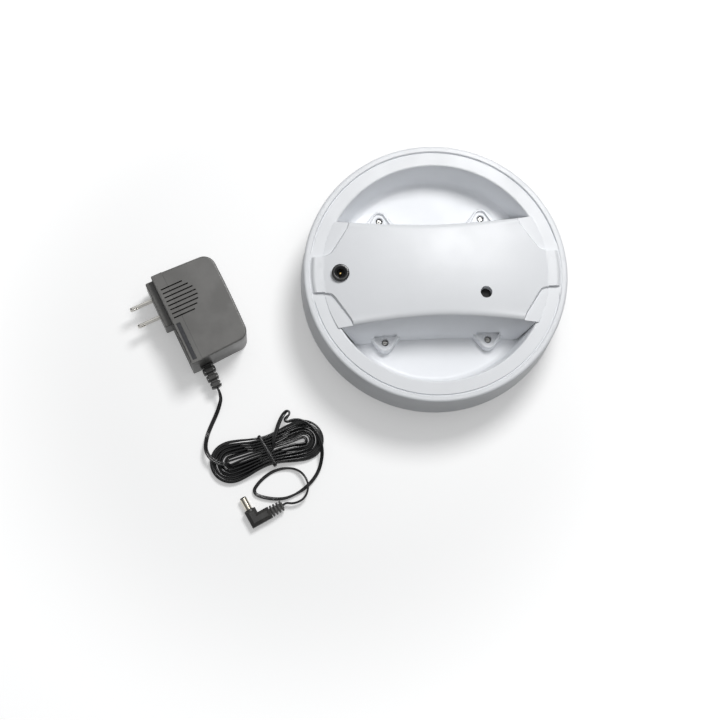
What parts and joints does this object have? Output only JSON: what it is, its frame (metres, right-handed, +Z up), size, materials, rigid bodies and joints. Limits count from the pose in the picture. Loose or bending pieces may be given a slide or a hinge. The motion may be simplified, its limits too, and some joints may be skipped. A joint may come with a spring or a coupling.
{
  "type": "cold compression therapy unit",
  "caption": "Round motorised cooler lid with a bridge housing across its recessed well, a power jack and an air vent, with its wall adapter and the tied hank of its thin lead",
  "frame": {"origin": "The centre of the lid's round neck, on the table plane the parts rest on", "axes": "+Z up, +X along the bridge housing from the power jack to the vent, +Y towards the back of the picture"},
  "size_m": [0.297, 0.2532, 0.052],
  "materials": {
    "housing_white": "satin",
    "neck_white": "satin",
    "foam": "matte",
    "seal_grey": "matte",
    "screw_steel": "satin",
    "nickel": "polished",
    "bezel_black": "gloss",
    "brass": "satin",
    "filter_black": "matte",
    "motor_steel": "satin",
    "ferrite": "matte",
    "nylon": "satin",
    "bronze": "matte",
    "laminations": "matte",
    "copper": "satin",
    "rubber_black": "matte",
    "tube_clear": "satin",
    "board_green": "satin",
    "parts_dark": "satin",
    "wire_red": "satin",
    "case_charcoal": "satin",
    "cord_black": "satin",
    "tie_black": "satin",
    "plug_black": "satin"
  },
  "bodies": {
    "unit": {"lid_shell": "housing_white", "neck_base": "neck_white", "insulation": "foam", "rim_gasket": "seal_grey", "housing_cover": "housing_white", "housing_screws": "screw_steel", "jack_bushing": "bezel_black", "jack_nut": "nickel", "jack_pin": "brass", "jack_spring": "nickel", "intake_filter": "filter_black", "motor_can": "motor_steel", "motor_magnets": "ferrite", "motor_endcap": "nylon", "motor_bushings": "bronze", "motor_cradle": "seal_grey", "diaphragm": "rubber_black", "pump_frame": "nylon", "pump_side_cover": "nylon", "valve_plate": "nylon", "valve_flaps": "rubber_black", "pump_head": "nylon", "pump_screws": "screw_steel", "outlet_tube": "tube_clear", "air_fitting": "nylon", "relief_tube": "tube_clear", "relief_valve_body": "nylon", "relief_bobbin": "nylon", "relief_winding": "copper", "relief_yoke": "motor_steel", "relief_spring": "motor_steel", "control_board": "board_green", "board_parts": "parts_dark", "board_screws": "screw_steel", "wires": "wire_red", "adapter_case": "case_charcoal", "adapter_cover": "case_charcoal", "plug_blades": "nickel", "adapter_core": "laminations", "adapter_winding": "copper", "adapter_board": "board_green", "adapter_relief": "plug_black", "lead_adapter": "cord_black", "lead_hank": "cord_black", "lead_plug": "cord_black", "hank_tie": "tie_black", "plug_body": "plug_black", "plug_barrel": "nickel", "plug_insulator": "tie_black", "plug_contact": "brass"},
    "rotor": {"motor_shaft": "motor_steel", "armature": "laminations", "armature_winding": "copper", "commutator": "copper", "eccentric": "brass"},
    "rod": {"connecting_rod": "nylon", "crank_bearing": "motor_steel", "rod_button": "motor_steel", "diaphragm_centre": "rubber_black"},
    "plunger": {"relief_plunger": "motor_steel"}
  },
  "joints": [
    {"name": "motor_turn", "type": "hinge", "parent": "unit", "child": "rotor", "pos_m": [0.0088, -0.006, 0.033], "axis": [1, 0, 0], "continuous": true},
    {"name": "rod_orbit", "type": "hinge", "parent": "rotor", "child": "rod", "pos_m": [0.0175, -0.0072, 0.033], "axis": [1, 0, 0], "continuous": true},
    {"name": "relief_lift", "type": "slide", "parent": "unit", "child": "plunger", "axis": [0, 0, 1], "range_m": [0, 0.0015], "stiffness_N_per_m": 60, "springref_m": -0.002, "deforming": ["relief_spring"]}
  ],
  "couplings": [
    {"joint": "rod_orbit", "follows": "motor_turn", "ratio": -1}
  ]
}
